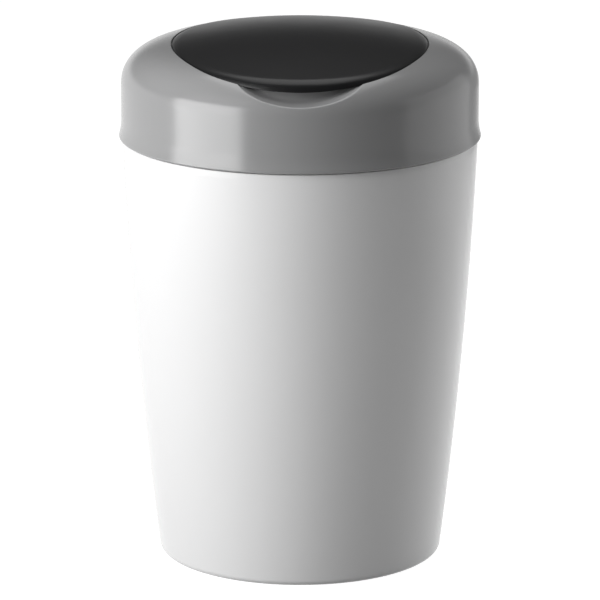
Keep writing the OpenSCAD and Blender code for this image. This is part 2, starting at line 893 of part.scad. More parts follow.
// The rim rolls over from the crowned top to its edge in the ledge
roll_power = 2.4;
roll_steps = 7;
crown_shares = [0.2, 0.4, 0.6, 0.8];
band_w = 3.6;
band_drop = 0.4;

function edge_h(k) = dome_z(norm(lid_xy(0, 1, k))) - lid_tuck;

function rim_point(inset, k) = let (
        p = lid_xy(inset, 1, k),
        top = crown_z(p[0], p[1]),
        u = 1 - inset / roll_w)
    [p[0], p[1], rim_z + edge_h(k) + (top - edge_h(k)) * pow(max(0, 1 - pow(u, roll_power)), 1 / roll_power)];

function top_point(share, k) = let (p = lid_xy(roll_w, share, k)) [p[0], p[1], rim_z + crown_z(p[0], p[1])];

function under_point(inset, share, k) = let (p = lid_xy(inset, share, k))
    [p[0], p[1], rim_z + crown_z(p[0], p[1]) - lid_wall];

// Foot of the rim: it follows the dome under it, or lies just under the wall where that is lower
function foot_point(k) = let (p = lid_xy(band_w, 1, k))
    [p[0], p[1], rim_z + min(dome_z(norm(p)) - lid_tuck, crown_z(p[0], p[1]) - lid_wall - band_drop)];

function lid_points() = concat(
    [[0, -lid_forward, rim_z + crown_z(0, lid_forward)]],
    [for (s = crown_shares) for (k = [0 : lid_sides - 1]) top_point(s, k)],
    [for (i = [0 : roll_steps]) for (k = [0 : lid_sides - 1]) rim_point(roll_w * cos(90 * i / roll_steps), k)],
    [for (k = [0 : lid_sides - 1]) foot_point(k)],
    [for (k = [0 : lid_sides - 1]) under_point(band_w + 0.8, 1, k)],
    [for (s = [1, 0.75, 0.5, 0.25]) for (k = [0 : lid_sides - 1]) under_point(roll_w, s, k)],
    [[0, -lid_forward, rim_z + crown_z(0, lid_forward) - lid_wall]]);

function skin_faces(rings, m) = let (last = rings * m + 1) concat(
    [for (k = [0 : m - 1]) [0, 1 + (k + 1) % m, 1 + k]],
    [for (i = [0 : rings - 2]) for (k = [0 : m - 1])
        let (a = 1 + i * m + k, b = 1 + i * m + (k + 1) % m)
        each [[a, b, a + m], [b, b + m, a + m]]],
    [for (k = [0 : m - 1]) [last, last - m + k, last - m + (k + 1) % m]]);

// Arm from the lid's back edge to its hinge barrel, drawn in (y, z) from the pin
module lid_arm(s) {
    front = pocket_front - pivot_y + pocket_gap;
    rise = crown_z(0, pivot_y + front) - pivot_h;
    translate([s * barrel_x - barrel_w / 2, pivot_y, rim_z + pivot_h]) rotate([90, 0, 90])
        linear_extrude(height = barrel_w) union() {
            circle(r = barrel_r);
            polygon([[-3, 3], [-6.5, rise - 2.4], [-9.5, rise - 1.6], [front, rise - 1.4],
                     [front, 3], [-9, -2], [-1, -2.5]]);
        }
}

module lid_shell() {
    rings = len(crown_shares) + roll_steps + 1 + 2 + 4;
    color([0.12, 0.12, 0.13]) difference() {
        union() {
            polyhedron(points = lid_points(), faces = skin_faces(rings, lid_sides), convexity = 6);
            for (s = [-1, 1]) lid_arm(s);
        }
        translate([0, pivot_y, rim_z + pivot_h]) rotate([0, 90, 0])
            cylinder(r = pin_r + pin_play, h = pin_len + 1, center = true);
    }
}

module crown_ball(drop) {
    translate([0, 0, rim_z + crown_h - crown_r - drop]) sphere(r = crown_r);
}

// Panel under the lid, with a skirt that plugs the well
module lid_liner() {
    fit = lid_wall + seat;
    color("dimgray") difference() {
        intersection() {
            oval(liner_inset, liner_h, 100);
            crown_ball(fit);
        }
        intersection() {
            oval(liner_inset + liner_wall, liner_h - 1, 120);
            crown_ball(fit + liner_wall);
        }
    }
}

// The seal is narrower at the back, where it swings past the well's wall
module lid_seal() {
    low = liner_h + 3;
    color("darkslategray") difference() {
        intersection() {
            oval(liner_inset - seal_w, low, low + seal_t);
            translate([0, -seal_relief, 0]) oval(liner_inset - seal_w, low - 1, low + seal_t + 1);
        }
        oval(liner_inset, low - 1, low + seal_t + 1);
    }
}

tub();
tub_seal();
carrier();
gripper();
gripper_retainer();
retainer_screws();
turntable();
cassette_tray();
cassette_cover();
film_pack();
twist_ring();
cutter_button();
cutter_blade();
cutter_spring();
ring_retainer();
ring_screws();
collar();
hinge_pin();
lid_shell();
lid_liner();
lid_seal();
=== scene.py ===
"""Nappy bin: white tub, domed grey head and black oval lid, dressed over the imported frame."""

import math

import bmesh
import bpy
import numpy as np
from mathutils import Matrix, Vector


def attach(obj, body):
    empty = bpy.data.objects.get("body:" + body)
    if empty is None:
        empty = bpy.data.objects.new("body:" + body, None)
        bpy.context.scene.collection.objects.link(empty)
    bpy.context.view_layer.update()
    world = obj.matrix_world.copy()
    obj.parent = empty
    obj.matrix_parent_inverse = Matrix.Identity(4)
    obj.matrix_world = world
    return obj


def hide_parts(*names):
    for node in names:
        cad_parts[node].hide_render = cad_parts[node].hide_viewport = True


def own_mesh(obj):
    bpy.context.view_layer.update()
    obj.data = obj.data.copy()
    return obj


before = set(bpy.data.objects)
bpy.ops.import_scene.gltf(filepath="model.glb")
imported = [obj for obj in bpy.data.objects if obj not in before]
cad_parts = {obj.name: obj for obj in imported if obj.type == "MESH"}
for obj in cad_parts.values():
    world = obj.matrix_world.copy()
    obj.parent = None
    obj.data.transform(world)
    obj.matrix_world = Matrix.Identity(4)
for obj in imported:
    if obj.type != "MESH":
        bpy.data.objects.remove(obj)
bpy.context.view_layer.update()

# Sizes are in millimetres, and meshes are made in metres
MM = 0.001

# Tub
BASE_R = 106.0
MOUTH_R = 132.7
STEP_Z = 318.7
BELLY = 3.4
TUB_WALL = 2.4
NECK_H = 24.8
NECK_R = 130.35
NECK_IN = NECK_R - TUB_WALL
FLOOR_RISE = 5.5
FOOT_ROUND = 5.0
FOOT_W = 7.0
INNER_ROUND = 6.0
BASE_RIBS = 8
RIB_T = 2.0
RIB_H = 3.0
HUB_R = 10.0
KEYS = 4
KEY_W = 4.0
KEY_DEPTH = 1.2
KEY_H = 24.0

# Head: lower edge of the collar, its wall and its dome
RIM_Z = 319.5
COLLAR_R = 133.2
COLLAR_WALL = 2.4
FLARE_W = 1.8
FLARE_H = 14.0
SHOULDER_H = 39.8
DOME_H = 73.9
DOME_POWER_R = 5.74
DOME_POWER_H = 2.17


def dome_z(r):
    """Height of the dome over radius r, above the collar's lower edge."""
    share = np.minimum(r, COLLAR_R) / COLLAR_R
    return SHOULDER_H + (DOME_H - SHOULDER_H) * (1 - share**DOME_POWER_R) ** (1 / DOME_POWER_H)


# Lid: an oval of four arcs, its crown and its rolled rim
LID_A = 95.0
LID_B = 117.2
LID_FORWARD = 8.0
END_R = 87.0
END_C = LID_B - END_R
SIDE_R = (LID_A**2 + END_C**2 - END_R**2) / (2 * (LID_A - END_R))
SIDE_C = SIDE_R - LID_A
TURN = math.atan2(END_C, SIDE_C)
CROWN_H = DOME_H + 8.3
SIDE_PROUD = 0.75
SIDE_REACH = math.hypot(LID_A, LID_FORWARD)
CROWN_R = SIDE_REACH**2 / (2 * (CROWN_H - dome_z(SIDE_REACH) - SIDE_PROUD))
LID_WALL = 2.4
LID_TUCK = 1.2
ROLL_W = 7.0
ROLL_POWER = 2.4
BAND_W = 3.6
BAND_DROP = 0.4

# Ledge, well and deck inside the collar
REBATE = 2.2
REBATE_GAP = 0.6
LEDGE_DROP = LID_WALL + BAND_DROP + 0.3
WELL_INSET = 9.0
WELL_WALL = 2.0
WELL_H = 44.0
WELL_T = 2.4
WELL_FLAT = 99.0
WELL_FAR = 125.0
WELL_RISE = 10.0
RING_HOLE = 86.0
DECK_R = 104.0
BOSSES = 4
BOSS_R = 4.0
BOSS_CIRCLE = 99.5
BOSS_LOW = 41.4
BOSS_CHAMFER = 0.3
GUSSETS = 8
GUSSET_T = 2.0
GUSSET_LOW = 28.3

# Finger scoop: a sphere in front of and above the collar
SCOOP_R = 120.0
SCOOP_FRONT = 150.0
SCOOP_LOW = 48.4
SCOOP_H = SCOOP_LOW + math.sqrt(SCOOP_R**2 - (SCOOP_FRONT - COLLAR_R + 1.3) ** 2)
SCOOP_GUARD = 2.2
SCOOP_EDGE = 1.3
SCOOP_FILLET = 5.0
PLAIN_EDGE = 0.35
SCOOP_SINE = -0.4
SCOOP_UNDER_SINE = -0.55

# Rounding of the collar's inner edges: lengths along its section
EDGE_SPAN = 2.6
STEP_SPAN = 0.8
LIP_SPAN = 0.6
WELL_SPAN = 2.0

# Hinge
PIN_R = 2.0
PIN_PLAY = 0.05
BARREL_R = 4.3
BARREL_W = 16.0
KNUCKLE_W = 13.0
CHEEK_W = 5.0
CHEEK_PROUD = 0.7
LUG_FOOT = -7.3
POCKET_GAP = 0.6
PIVOT_Y = LID_B - LID_FORWARD + 9
PIVOT_H = float(dome_z(PIVOT_Y)) - BARREL_R
POCKET_FRONT = LID_B - LID_FORWARD - 5
BARREL_X = (KNUCKLE_W + BARREL_W) / 2 + POCKET_GAP
POCKET_W = 2 * (BARREL_X + BARREL_W / 2 + POCKET_GAP)
PIN_LEN = POCKET_W + 2 * CHEEK_W - 2


# Curves that the pieces share


def crown_z(x, y):
    return CROWN_H - (x * x + y * y) / (2 * CROWN_R)


def ball_z(r, drop):
    """Height of the crown's sphere, let down by a distance."""
    return CROWN_H - drop - CROWN_R + np.sqrt(CROWN_R**2 - r * r)


def ledge_z(r):
    """Ledge under the lid's rim: below the dome, and below the lid's underside."""
    return np.minimum(dome_z(r) - REBATE, ball_z(r, LEDGE_DROP))


def scoop_z(x, y, grow=0.0):
    """Height of the scooping sphere's underside, infinite beside it."""
    left = (SCOOP_R + grow) ** 2 - x * x - (y + SCOOP_FRONT) ** 2
    return np.where(left > 0, SCOOP_H - np.sqrt(np.maximum(left, 0)), np.inf)


def oval_gap(x, y):
    """How far a point lies outside the lid's outline, less than 0 inside it."""
    px = abs(x)
    py = abs(y + LID_FORWARD)
    if math.atan2(py, px + SIDE_C) < TURN:
        return math.hypot(px + SIDE_C, py) - SIDE_R
    return math.hypot(px, py - END_C) - END_R


def room_gap(x, y):
    """The same for the lid's room, which is wider at the back where the rim swings."""
    return min(oval_gap(x, y), oval_gap(x, y - REBATE_GAP))


def last_where(test, low, high):
    """The highest value that passes a test, when it fails from there on, found by halving."""
    for _ in range(36):
        mid = (low + high) / 2
        if test(mid):
            low = mid
        else:
            high = mid
    return low


def reach(angle, gap_of, gap):
    """Radius at which a ray from the axis comes to a gap from the outline."""
    def short_of_gap(r):
        return gap_of(r * math.cos(angle), r * math.sin(angle)) < gap

    return last_where(short_of_gap, 40.0, 140.0)


def oval_point(a, inset):
    """Point of the outline where its normal has angle a."""
    c = math.cos(a)
    s = math.sin(a)
    if abs(c) > math.cos(TURN):
        return -math.copysign(SIDE_C, c) + (SIDE_R - inset) * c, (SIDE_R - inset) * s
    return (END_R - inset) * c, math.copysign(END_C, s) + (END_R - inset) * s


def dome_arc(t):
    """Point of the dome's section, from its wall at t = 0 to its crown at a quarter turn."""
    r = COLLAR_R * np.cos(t) ** (2 / DOME_POWER_R)
    return r, SHOULDER_H + (DOME_H - SHOULDER_H) * np.sin(t) ** (2 / DOME_POWER_H)


def dome_turn(r):
    return math.acos(min(1.0, (r / COLLAR_R) ** (DOME_POWER_R / 2)))


def arc(cx, cz, r, a0, a1, n):
    turns = [math.radians(a0 + (a1 - a0) * i / n) for i in range(n + 1)]
    return [(cx + r * math.cos(a), cz + r * math.sin(a)) for a in turns]


def line(p, q, n):
    """The points after p up to q, in n equal steps."""
    return [(p[0] + (q[0] - p[0]) * i / n, p[1] + (q[1] - p[1]) * i / n) for i in range(1, n + 1)]


# Making meshes


SHARP_DEG = 32.0
SOFT_DEG = 40.0


def mesh_object(name, points, faces, body):
    """A clean mesh in metres from points in millimetres, smooth but for its sharp edges."""
    mesh = bpy.data.meshes.new(name)
    mesh.from_pydata([tuple(float(c) * MM for c in p) for p in points], [], faces)
    bm = bmesh.new()
    bm.from_mesh(mesh)
    bmesh.ops.remove_doubles(bm, verts=bm.verts, dist=2e-6)
    bmesh.ops.dissolve_degenerate(bm, edges=bm.edges, dist=1e-6)
    bmesh.ops.recalc_face_normals(bm, faces=bm.faces)
    bm.to_mesh(mesh)
    bm.free()
    obj = bpy.data.objects.new(name, mesh)
    bpy.context.scene.collection.objects.link(obj)
    shade(obj, SHARP_DEG)
    if body:
        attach(obj, body)
    return obj


def shade(obj, sharp_deg):
    mesh = obj.data
    mesh.polygons.foreach_set("use_smooth", [True] * len(mesh.polygons))
    mesh.set_sharp_from_angle(angle=math.radians(sharp_deg))
    mesh.update()


def loft(columns):
    """Points and quads of closed sections set round a closed ring."""
    n = len(columns)
    m = len(columns[0])
    points = [p for column in columns for p in column]
    faces = []
    for i in range(n):
        j = (i + 1) % n
        for k in range(m):
            q = (k + 1) % m
            faces.append((i * m + k, j * m + k, j * m + q, i * m + q))
    return points, faces


def revolve(section, segments, centre=(0.0, 0.0)):
    """A closed section of (r, z) turned about an upright axis."""
    columns = []
    for i in range(segments):
        a = 2 * math.pi * i / segments
        columns.append([(centre[0] + r * math.cos(a), centre[1] + r * math.sin(a), z) for r, z in section])
    return loft(columns)


def slab(outline, thick, turn, shift=0.0):
    """A closed outline of (r, z), made thick across, shifted across and turned about the axis."""
    a = math.radians(turn)
    n = len(outline)
    points = []
    for side in (shift - thick / 2, shift + thick / 2):
        for r, z in outline:
            points.append((r * math.cos(a) - side * math.sin(a), r * math.sin(a) + side * math.cos(a), z))
    faces = [tuple(range(n)), tuple(range(2 * n - 1, n - 1, -1))]
    faces += [(i, n + i, n + (i + 1) % n, (i + 1) % n) for i in range(n)]
    return points, faces


def joined(parts):
    """Several sets of points and faces as one."""
    points = []
    faces = []
    for more_points, more_faces in parts:
        base = len(points)
        points += more_points
        faces += [tuple(base + i for i in face) for face in more_faces]
    return points, faces


def soften(obj, width, steps=2):
    """Rounds the sharp edges a little."""
    bm = bmesh.new()
    bm.from_mesh(obj.data)
    edges = [e for e in bm.edges if len(e.link_faces) == 2 and e.calc_face_angle() > math.radians(SOFT_DEG)]
    bmesh.ops.bevel(
        bm, geom=edges, offset=width * MM, segments=steps, profile=0.5, affect="EDGES", clamp_overlap=True
    )
    bm.to_mesh(obj.data)
    bm.free()
    shade(obj, SOFT_DEG)


def combine(obj, tool, operation):
    """Applies one exact boolean and removes the tool."""
    mod = obj.modifiers.new("cut", "BOOLEAN")
    mod.operation = operation
    mod.solver = "EXACT"
    mod.object = tool
    graph = bpy.context.evaluated_depsgraph_get()
    result = bpy.data.meshes.new_from_object(obj.evaluated_get(graph))
    obj.modifiers.remove(mod)
    obj.data = result
    bpy.data.objects.remove(tool)
    shade(obj, SHARP_DEG)


def paint(obj, mat):
    obj.data.materials.clear()
    obj.data.materials.append(mat)


def finish_piece(obj, mat, node):
    """The piece stands for a CAD node, in its material."""
    paint(obj, mat)
    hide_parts(node)


# Tub


def tub_r(z):
    t = z / STEP_Z
    return BASE_R + (MOUTH_R - BASE_R) * t + 4 * BELLY * t * (1 - t)


def tub_section():
    rows = 60
    low = FOOT_ROUND
    floor_top = FLOOR_RISE + TUB_WALL
    inner_low = floor_top + INNER_ROUND
    neck_top = STEP_Z + NECK_H
    foot_in = BASE_R - FOOT_ROUND - FOOT_W
    section = [(0, FLOOR_RISE), (foot_in - 3, FLOOR_RISE), (foot_in, 0), (BASE_R - FOOT_ROUND, 0)]
    section += arc(tub_r(low) - FOOT_ROUND, low, FOOT_ROUND, -82, 0, 8)
    for i in range(1, rows + 1):
        z = low + (STEP_Z - 0.7 - low) * i / rows
        section.append((tub_r(z), z))
    section += [(MOUTH_R - 0.2, STEP_Z - 0.2), (MOUTH_R - 0.7, STEP_Z), (NECK_R, STEP_Z)]
    section += [(NECK_R, neck_top - 1), (NECK_R - 0.8, neck_top), (NECK_IN, neck_top)]
    section += [(NECK_IN, STEP_Z - TUB_WALL)]
    for i in range(rows, -1, -1):
        z = inner_low + (STEP_Z - TUB_WALL - inner_low) * i / rows
        section.append((tub_r(z) - TUB_WALL, z))
    section += arc(tub_r(inner_low) - TUB_WALL - INNER_ROUND, inner_low, INNER_ROUND, -10, -90, 6)
    section.append((0, floor_top))
    return section


def make_tub():
    points, faces = revolve(tub_section(), 256)
    return mesh_object("tub_wall", points, faces, "base")


def make_base_ribs():
    low = FLOOR_RISE - RIB_H
    top = FLOOR_RISE + 1
    far = BASE_R - 14
    outline = [(HUB_R, low), (far - RIB_H, low), (far, top), (HUB_R, top)]
    ribs = [slab(outline, RIB_T, i * 360 / BASE_RIBS) for i in range(BASE_RIBS)]
    hub = revolve([(HUB_R - 1, low), (HUB_R + 1, low), (HUB_R + 1, top), (HUB_R - 1, top)], 48)
    points, faces = joined(ribs + [hub])
    return mesh_object("base_ribs", points, faces, "base")


def make_key_ribs():
    low = STEP_Z + NECK_H - KEY_H - 2
    tip = NECK_IN - KEY_DEPTH
    root = NECK_IN + 1
    outline = [(root, low), (root, low + KEY_H), (tip + 0.8, low + KEY_H)]
    outline += [(tip, low + KEY_H - 2), (tip, low)]
    points, faces = joined([slab(outline, KEY_W, 45 + i * 360 / KEYS) for i in range(KEYS)])
    obj = mesh_object("key_ribs", points, faces, "base")
    soften(obj, 0.3)
    return obj


# Collar


def dome_end(angle, r_room):
    """Where the dome stops: at the scoop's edge, or else at the wall of the lid's room."""
    c = math.cos(angle)
    s = math.sin(angle)

    def scooped(r):
        return s < SCOOP_SINE and scoop_z(r * c, r * s) < dome_z(r)

    if not scooped(r_room):
        return r_room
    return last_where(scooped, r_room, COLLAR_R - 1e-6)


def collar_outside():
    """Lower edge, flare and wall, the same all the way round."""
    lip = FLARE_W + COLLAR_R
    run = [(lip - 2.6, 0.0), (lip - 1.3, 0.0), (lip - 0.55, 0.15), (lip - 0.15, 0.55), (lip, 1.2)]
    for i in range(1, 15):
        t = i / 14
        run.append((COLLAR_R + FLARE_W * (1 - t) ** 2, 1.2 + (FLARE_H - 1.2) * t))
    run += line(run[-1], (COLLAR_R, SHOULDER_H - 0.5), 4)
    return run


def run_length(path):
    return float(np.sum(np.hypot(*np.diff(path, axis=0).T)))


def eased(path, stations, widths):
    """The path's points at given lengths, each averaged over a short width to round the corners."""
    along = np.concatenate([[0.0], np.cumsum(np.hypot(*np.diff(path, axis=0).T))])
    spread = np.linspace(-1, 1, 11)
    weight = 1 - 0.6 * np.abs(spread)
    weight /= weight.sum()
    places = np.clip(stations[:, None] + widths[:, None] * spread, 0, along[-1])
    return np.stack([np.interp(places, along, path[:, axis]) @ weight for axis in (0, 1)], axis=1)


def collar_path(angle, r_room, r_wall, r_in):
    """Sharp section from the dome over scoop and ledge into the well, in parts that meet or step."""
    c = math.cos(angle)
    s = math.sin(angle)
    end = dome_end(angle, r_room)

    def cut(r):
        return scoop_z(r * c, r * s) if s < SCOOP_SINE else np.full_like(r, np.inf)

    t = np.linspace(0.0, dome_turn(end), 240)
    dome = np.stack(dome_arc(t), axis=1)
    scoop_r = np.linspace(end, r_room, 60)
    scoop = np.stack([scoop_r, np.minimum(cut(scoop_r), dome_z(scoop_r))], axis=1)
    ledge_r = np.linspace(r_room, r_wall, 80)
    ledge = np.stack([ledge_r, np.minimum(ledge_z(ledge_r), cut(ledge_r))], axis=1)
    wall = np.array([[r_wall, float(ledge_z(r_wall))]])
    well_top = float(ledge_z(r_in))
    inner = np.array([[r_in, well_top], [r_in, well_top - WELL_SPAN]])
    return dome, scoop, ledge, wall, inner


def corner_places(parts):
    """Lengths along the path to the corners between its parts."""
    dome, scoop, ledge, wall, inner = parts
    scoop_start = run_length(dome)
    scoop_end = scoop_start + run_length(scoop)
    ledge_start = scoop_end + float(np.hypot(*(ledge[0] - scoop[-1])))
    ledge_end = ledge_start + run_length(ledge)
    wall_top = ledge_end + float(np.hypot(*(wall[0] - ledge[-1])))
    well_edge = wall_top + float(np.hypot(*(inner[0] - wall[0])))
    return scoop_start, scoop_end, ledge_start, ledge_end, wall_top, well_edge


def collar_edge(angle, r_room, r_wall, r_in):
    """One column from the dome over scoop and ledge into the well, with eased corners."""
    parts = collar_path(angle, r_room, r_wall, r_in)
    scoop_start, scoop_end, ledge_start, ledge_end, wall_top, well_edge = corner_places(parts)
    near = min(EDGE_SPAN, (scoop_end - scoop_start) / 2)
    tight = min(STEP_SPAN, (ledge_start - scoop_end) / 2)
    fillet = min(SCOOP_FILLET, 0.6 * (wall_top - ledge_end))
    bank = min(fillet, (ledge_end - ledge_start) / 2)
    lip = min(LIP_SPAN, (wall_top - ledge_end) / 4)
    scoop_close = scoop_end - min(STEP_SPAN, near / 2)
    spans = [
        (scoop_start - EDGE_SPAN, scoop_start, 8),
        (scoop_start, scoop_start + near, 8),
        (scoop_start + near, scoop_close, 6),
        (scoop_close, scoop_end + tight, 6),
        (scoop_end + tight, ledge_start - tight, 2),
        (ledge_start - tight, ledge_start + STEP_SPAN, 6),
        (ledge_start + STEP_SPAN, ledge_end - bank, 6),
        (ledge_end - bank, ledge_end + fillet, 12),
        (ledge_end + fillet, wall_top - lip, 4),
        (wall_top - lip, wall_top + LIP_SPAN, 6),
        (wall_top + LIP_SPAN, well_edge - LIP_SPAN, 2),
        (well_edge - LIP_SPAN, well_edge + WELL_SPAN / 2, 6),
    ]
    dome_steps = 30
    stations = [(scoop_start - EDGE_SPAN) * np.arange(dome_steps) / dome_steps]
    stations += [np.linspace(start, stop, steps + 1)[:-1] for start, stop, steps in spans]
    stations = np.concatenate(stations + [[spans[-1][1]]])
    open_share = min(1.0, (scoop_end - scoop_start) / 5.0)
    broad = PLAIN_EDGE + (SCOOP_EDGE - PLAIN_EDGE) * open_share
    widths = PLAIN_EDGE + (broad - PLAIN_EDGE) * np.clip(1 - np.abs(stations - scoop_start) / 4.0, 0, 1)
    foot = fillet * np.clip(1.6 - 0.8 * np.abs(stations - ledge_end) / max(fillet, 0.01), 0, 1)
    widths = np.minimum(np.maximum(widths, foot), np.maximum(stations, 1e-3))
    return [tuple(p) for p in eased(np.concatenate(parts), stations, widths)]


def collar_column(angle):
    r_room = reach(angle, room_gap, REBATE_GAP)
    r_in = max(reach(angle, oval_gap, -WELL_INSET), RING_HOLE + 0.3)
    r_wall = max(reach(angle, oval_gap, WELL_WALL - WELL_INSET), r_in + WELL_WALL * 0.8)
    run = collar_outside() + collar_edge(angle, r_room, r_wall, r_in)

    # Well: wall, floor and the hole for the ring
    def well_floor(r):
        share = min(max((r - WELL_FLAT) / (WELL_FAR - WELL_FLAT), 0), 1)
        return WELL_H + WELL_T + WELL_RISE * share

    run += line(run[-1], (r_in, well_floor(r_in) + 1.2), 3)
    run.append((r_in - 0.4, well_floor(r_in) + 0.4))
    knee = min(r_in - 1.2, max(WELL_FLAT, RING_HOLE + 0.1))
    knee = max(knee, RING_HOLE + 0.1)
    run.append((knee, well_floor(knee)))
    run += [(RING_HOLE + 0.05, WELL_H + WELL_T), (RING_HOLE, WELL_H + WELL_T - 0.3), (RING_HOLE, WELL_H)]

    # Underside of the deck and outside of the well's wall
    inside = r_wall < DECK_R
    run.append((DECK_R, WELL_H))
    run.append((DECK_R, WELL_H + WELL_T if inside else well_floor(DECK_R) - WELL_T))
    run.append((r_wall, WELL_H + WELL_T if inside else well_floor(r_wall) - WELL_T))

    # Inside of the skin, under ledge, scoop and dome
    skin_r = COLLAR_R - COLLAR_WALL
    r_ledge = reach(angle, oval_gap, REBATE_GAP + COLLAR_WALL)
    c = math.cos(angle)
    s = math.sin(angle)

    def skin(r):
        share = min(r, skin_r) / skin_r
        rise = DOME_H - COLLAR_WALL - SHOULDER_H
        heights = [SHOULDER_H + rise * (1 - share**DOME_POWER_R) ** (1 / DOME_POWER_H)]
        if r < r_ledge:
            heights.append(float(dome_z(r)) - REBATE - COLLAR_WALL)
        if s < SCOOP_UNDER_SINE:
            heights.append(float(scoop_z(r * c, r * s, SCOOP_GUARD)))
        return min(heights)

    rows = 26
    for i in range(rows + 1):
        r = r_wall + (skin_r - r_wall) * math.sin(math.pi / 2 * i / rows)
        run.append((r, skin(r)))
    run += line((skin_r, skin(skin_r)), (skin_r, 0.0), 3)
    return [(r * c, r * s, RIM_Z + z) for r, z in run]


def collar_angles():
    """Directions of the columns, closer together round the scoop."""
    angles = []
    turn = 0.0
    while turn < 360:
        angles.append(math.radians(turn - 90))
        off = min(turn, 360 - turn)
        turn += 0.4 if off < 40 else 0.75
    return angles


def make_collar():
    points, faces = loft([collar_column(a) for a in collar_angles()])
    obj = mesh_object("collar_shell", points, faces, "head")
    pocket = hinge_pocket("pocket_tool")
    combine(obj, pocket, "DIFFERENCE")
    return obj


def make_bosses():
    top = WELL_H + 1
    section = [(0, BOSS_LOW), (BOSS_R - BOSS_CHAMFER, BOSS_LOW), (BOSS_R, BOSS_LOW + BOSS_CHAMFER)]
    section += [(BOSS_R, top), (0, top)]
    section = [(r, RIM_Z + z) for r, z in section]
    parts = []
    for i in range(BOSSES):
        a = math.radians(45 + i * 360 / BOSSES)
        parts.append(revolve(section, 32, (BOSS_CIRCLE * math.cos(a), BOSS_CIRCLE * math.sin(a))))
    points, faces = joined(parts)
    return mesh_object("ring_bosses", points, faces, "head")


def make_gussets():
    inner = COLLAR_R - COLLAR_WALL
    outline = [(inner - 3.5, GUSSET_LOW), (inner + 1, GUSSET_LOW)]
    outline += [(inner + 1, SHOULDER_H), (inner - 1, SHOULDER_H)]
    outline = [(r, RIM_Z + z) for r, z in outline]
    points, faces = joined([slab(outline, GUSSET_T, 22.5 + i * 360 / GUSSETS) for i in range(GUSSETS)])
    obj = mesh_object("gussets", points, faces, "head")
    soften(obj, 0.3)
    return obj


# Hinge


def from_pivot(outline):
    return [(PIVOT_Y + y, RIM_Z + PIVOT_H + z) for y, z in outline]


def hinge_pocket(name):
    """Room for the lid's barrels and arms, as a tool for cutting."""
    r = BARREL_R + POCKET_GAP
    front = POCKET_FRONT - PIVOT_Y
    outline = [(front, 30), (front, -r)] + arc(0, 0, r, -90, 0, 10) + [(r, 30)]
    points, faces = slab(from_pivot(outline), POCKET_W, 90)
    return mesh_object(name, points, faces, None)


def pin_tool():
    circle = arc(0, 0, PIN_R + PIN_PLAY, 0, 350, 35)
    points, faces = slab(from_pivot(circle), PIN_LEN + 0.4, 90)
    return mesh_object("pin_tool", points, faces, None)


def pocket_block():
    """Floor and walls round the pocket, just under the dome's surface."""
    half = POCKET_W / 2 + CHEEK_W
    front = POCKET_FRONT - 4
    back = PIVOT_Y + BARREL_R + POCKET_GAP + 2
    low = PIVOT_H - BARREL_R - POCKET_GAP - 2
    nx = 24
    ny = 14
    columns = []
    for level in range(2):
        for j in range(ny + 1):
            for i in range(nx + 1):
                x = -half + 2 * half * i / nx
                y = front + (back - front) * j / ny
                top = float(dome_z(math.hypot(x, y))) - 0.9
                columns.append((x, y, RIM_Z + (top if level else low)))
    w = nx + 1
    base = w * (ny + 1)
    faces = []
    for j in range(ny):
        for i in range(nx):
            a = j * w + i
            faces.append((a, a + w, a + w + 1, a + 1))
            faces.append((base + a, base + a + 1, base + a + w + 1, base + a + w))
    for i in range(nx):
        far = ny * w
        faces.append((i, i + 1, base + i + 1, base + i))
        faces.append((far + i + 1, far + i, base + far + i, base + far + i + 1))
    for j in range(ny):
        a = j * w
        b = j * w + nx
        faces.append((a + w, a, base + a, base + a + w))
        faces.append((b, b + w, base + b + w, base + b))
    return columns, faces


def make_hinge_block():
    points, faces = pocket_block()
    obj = mesh_object("hinge_block", points, faces, "head")
    combine(obj, hinge_pocket("pocket_tool"), "DIFFERENCE")
    cheek_r = BARREL_R + CHEEK_PROUD
    parts = [(BARREL_R, KNUCKLE_W, 0.0)]
    parts += [(cheek_r, CHEEK_W, side * (POCKET_W + CHEEK_W) / 2) for side in (-1, 1)]
    for r, thick, shift in parts:
        outline = from_pivot([(r, LUG_FOOT)] + arc(0, 0, r, 0, 180, 18) + [(-r, LUG_FOOT)])
        points, faces = slab(outline, thick, 90, shift)
        piece = mesh_object("lug_tool", points, faces, None)
        soften(piece, 0.3)
        combine(obj, piece, "UNION")
    combine(obj, pin_tool(), "DIFFERENCE")
    return obj


def make_lid_arms():
    """Arms from the lid's back edge to its hinge barrels."""
    front = POCKET_FRONT - PIVOT_Y + POCKET_GAP
    rise = crown_z(0, PIVOT_Y + front) - PIVOT_H
    outline = arc(0, 0, BARREL_R, 135, -147, 40)
    outline += [(-9, -2), (front, 3), (front, rise - 1.4), (-9.5, rise - 1.6), (-6.5, rise - 2.4)]
    parts = [slab(from_pivot(outline), BARREL_W, 90, side * BARREL_X) for side in (-1, 1)]
    points, faces = joined(parts)
    obj = mesh_object("lid_arms", points, faces, "lid")
    soften(obj, 0.4)
    combine(obj, pin_tool(), "DIFFERENCE")
    return obj


# Lid


def lid_ring(inset, share, height):
    """Ring of points on the lid's outline, set in, then drawn towards its centre by a share."""
    n = 360
    ring = []
    for i in range(n):
        x, y = oval_point(2 * math.pi * i / n, inset)
        x *= share
        y = y * share - LID_FORWARD
        ring.append((x, y, RIM_Z + height(x, y, i / n)))
    return ring


def lid_edge(turn):
    x, y = oval_point(2 * math.pi * turn, 0.0)
    return float(dome_z(math.hypot(x, y - LID_FORWARD))) - LID_TUCK


def lid_rim(bend):
    """Height of the rolled rim: at bend 0 the edge, at bend 1 the crown."""
    def height(x, y, turn):
        edge = lid_edge(turn)
        return edge + (crown_z(x, y) - edge) * bend
    return height


